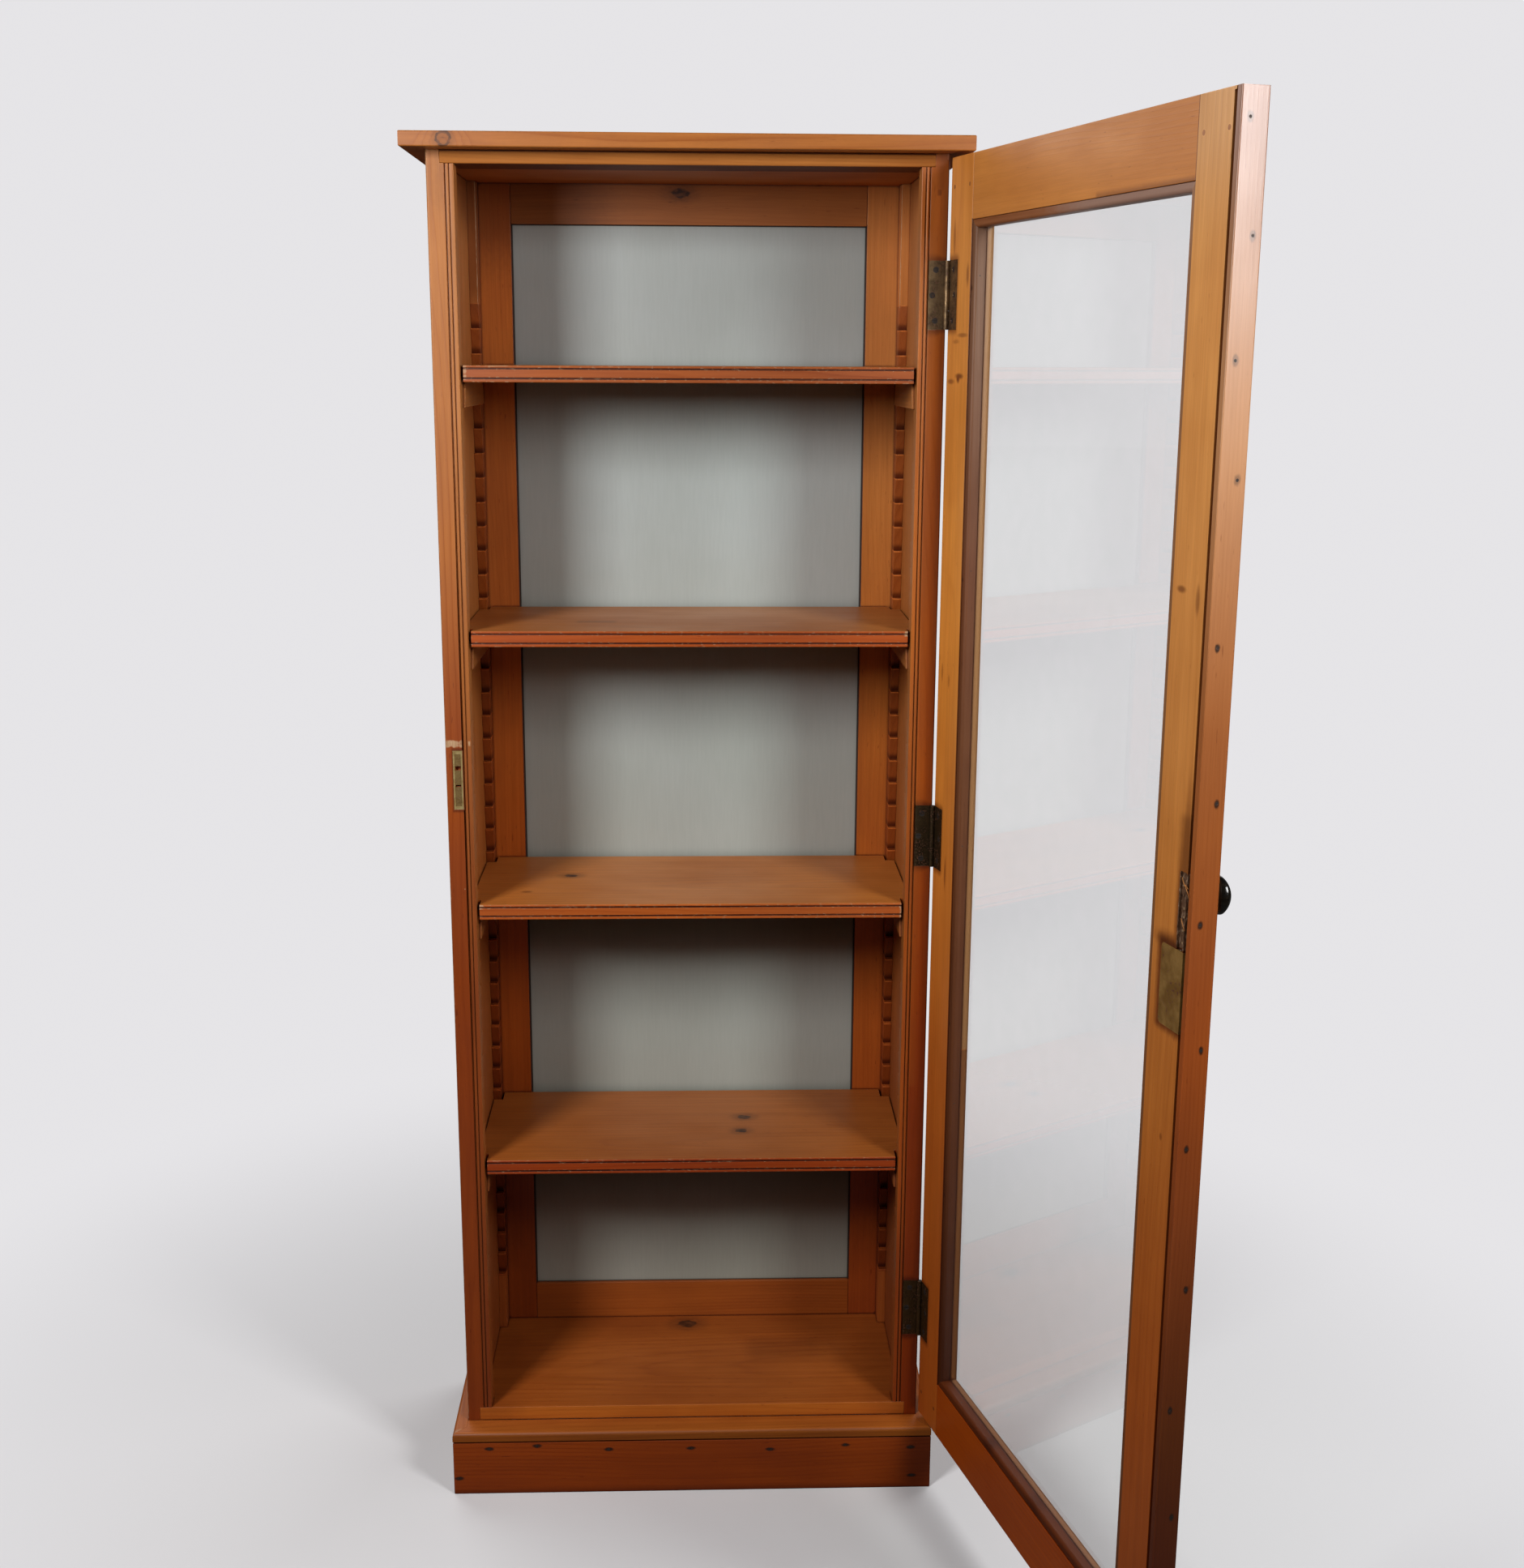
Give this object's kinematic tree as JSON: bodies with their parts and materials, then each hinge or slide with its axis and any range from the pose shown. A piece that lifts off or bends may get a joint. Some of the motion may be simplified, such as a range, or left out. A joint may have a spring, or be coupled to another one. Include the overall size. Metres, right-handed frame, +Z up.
{
  "type": "glazed display cabinet",
  "caption": "Tall narrow wooden display cabinet with a glazed side-hung door, loose shelves on bearers in toothed racks, and a plinth.",
  "frame": {"origin": "on the floor, under the front plinth board's packing board, in the middle of the width and in the plane of the carcass's front edges", "axes": "+X to the right of someone who faces the cabinet's front, +Y from the front to the back, +Z up"},
  "size_m": [0.815, 0.8111, 1.678],
  "materials": {
    "pine": "waxed",
    "bead_pine": "waxed",
    "back_panel": "matt paint",
    "brass": "dull, darkened",
    "iron": "dark, dull",
    "glass": "clear",
    "knob": "ebonised, polished"
  },
  "bodies": {
    "carcass": {"back_bottom_rail": "pine", "back_nails": "iron", "back_panel": "back_panel", "back_stile_left": "pine", "back_stile_right": "pine", "back_top_rail": "pine", "carcass_hinge_screws": "iron", "floor_board": "pine", "front_rack_left": "pine", "front_rack_right": "pine", "head_board": "pine", "hinge_carcass_leaves": "brass", "hinge_pins": "iron", "left_side": "pine", "plinth_front": "pine", "plinth_left": "pine", "plinth_moulding_front": "pine", "plinth_moulding_left": "pine", "plinth_moulding_right": "pine", "plinth_nails": "iron", "plinth_packer": "pine", "plinth_right": "pine", "rear_rack_left": "pine", "rear_rack_right": "pine", "right_side": "pine", "strike_plate": "brass", "top_board": "pine"},
    "door": {"door_hinge_stile": "pine", "door_lock_stile": "pine", "door_top_rail": "pine", "door_bottom_rail": "pine", "glazing_bead_hinge_side": "bead_pine", "glazing_bead_lock_side": "bead_pine", "glazing_bead_bottom": "bead_pine", "glazing_bead_top": "bead_pine", "glass_pane": "glass", "bead_pins": "iron", "door_pegs": "pine", "closing_strip": "bead_pine", "closing_strip_nails": "iron", "hinge_door_leaves": "brass", "door_hinge_screws": "iron", "lock_plate": "brass", "lock_case": "brass", "lock_key_pin": "brass", "knob": "knob"},
    "lock_bolt": {"lock_bolt": "brass"},
    "shelf_1": {"shelf_1": "pine"},
    "bearer_1_left": {"bearer_1_left": "pine"},
    "bearer_1_right": {"bearer_1_right": "pine"},
    "shelf_2": {"shelf_2": "pine"},
    "bearer_2_left": {"bearer_2_left": "pine"},
    "bearer_2_right": {"bearer_2_right": "pine"},
    "shelf_3": {"shelf_3": "pine"},
    "bearer_3_left": {"bearer_3_left": "pine"},
    "bearer_3_right": {"bearer_3_right": "pine"},
    "shelf_4": {"shelf_4": "pine"},
    "bearer_4_left": {"bearer_4_left": "pine"},
    "bearer_4_right": {"bearer_4_right": "pine"}
  },
  "joints": [
    {"name": "door_hinge", "type": "hinge", "parent": "carcass", "child": "door", "pos_m": [0.293, -0.0012, 0.8745], "axis": [0, 0, 1], "range_deg": [-105.6, 69.4]},
    {"name": "lock_bolt_slide", "type": "slide", "parent": "door", "child": "lock_bolt", "axis": [0.2689, -0.9632, 0], "range_m": [0, 0.0028]},
    {"name": "shelf_1_lift", "type": "slide", "parent": "carcass", "child": "shelf_1", "axis": [0, 0, 1], "range_m": [0, 0.198]},
    {"name": "shelf_2_lift", "type": "slide", "parent": "carcass", "child": "shelf_2", "axis": [0, 0, 1], "range_m": [0, 0.242]},
    {"name": "shelf_3_lift", "type": "slide", "parent": "carcass", "child": "shelf_3", "axis": [0, 0, 1], "range_m": [0, 0.272]},
    {"name": "shelf_4_lift", "type": "slide", "parent": "carcass", "child": "shelf_4", "axis": [0, 0, 1], "range_m": [0, 0.272]},
    {"name": "bearer_1_left_slide", "type": "slide", "parent": "carcass", "child": "bearer_1_left", "axis": [1, 0, 0], "range_m": [0, 0.0135]},
    {"name": "bearer_1_right_slide", "type": "slide", "parent": "carcass", "child": "bearer_1_right", "axis": [-1, 0, 0], "range_m": [0, 0.0135]},
    {"name": "bearer_2_left_slide", "type": "slide", "parent": "carcass", "child": "bearer_2_left", "axis": [1, 0, 0], "range_m": [0, 0.0135]},
    {"name": "bearer_2_right_slide", "type": "slide", "parent": "carcass", "child": "bearer_2_right", "axis": [-1, 0, 0], "range_m": [0, 0.0135]},
    {"name": "bearer_3_left_slide", "type": "slide", "parent": "carcass", "child": "bearer_3_left", "axis": [1, 0, 0], "range_m": [0, 0.0135]},
    {"name": "bearer_3_right_slide", "type": "slide", "parent": "carcass", "child": "bearer_3_right", "axis": [-1, 0, 0], "range_m": [0, 0.0135]},
    {"name": "bearer_4_left_slide", "type": "slide", "parent": "carcass", "child": "bearer_4_left", "axis": [1, 0, 0], "range_m": [0, 0.0135]},
    {"name": "bearer_4_right_slide", "type": "slide", "parent": "carcass", "child": "bearer_4_right", "axis": [-1, 0, 0], "range_m": [0, 0.0135]}
  ]
}
